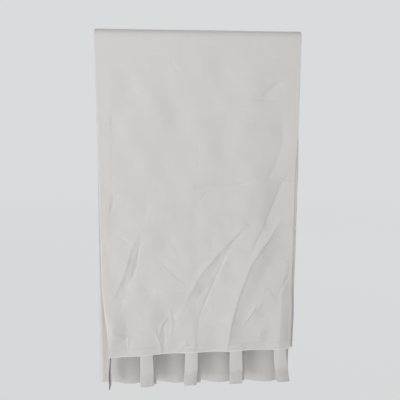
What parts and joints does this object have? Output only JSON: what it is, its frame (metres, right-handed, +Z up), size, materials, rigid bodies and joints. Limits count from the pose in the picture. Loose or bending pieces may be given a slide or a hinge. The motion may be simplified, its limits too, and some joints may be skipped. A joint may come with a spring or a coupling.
{
  "type": "tab top curtain",
  "caption": "Plain woven tab top curtain, folded once lengthwise and hung over a round rod at its middle, header end with cloth loops in front and hemmed end behind.",
  "frame": {"origin": "on the centre line of the rod that the folded curtain hangs over, in the middle of the folded width", "axes": "+Z up along the drop of the cloth, +X across the folded width from the lengthwise fold to the open side, -Y towards the front, where the header and its loops hang"},
  "size_m": [0.7268, 0.1164, 1.309],
  "materials": {
    "curtain_cloth": "matt plain weave",
    "facing_cloth": "matt plain weave",
    "loop_cloth": "matt plain weave, doubled"
  },
  "bodies": {
    "root": {"curtain_panel": "curtain_cloth", "header_facing": "facing_cloth", "tab_loop_1": "loop_cloth", "tab_loop_2": "loop_cloth", "tab_loop_3": "loop_cloth", "tab_loop_4": "loop_cloth", "tab_loop_5": "loop_cloth", "tab_loop_6": "loop_cloth", "tab_loop_7": "loop_cloth", "tab_loop_8": "loop_cloth", "tab_loop_9": "loop_cloth"}
  },
  "joints": []
}
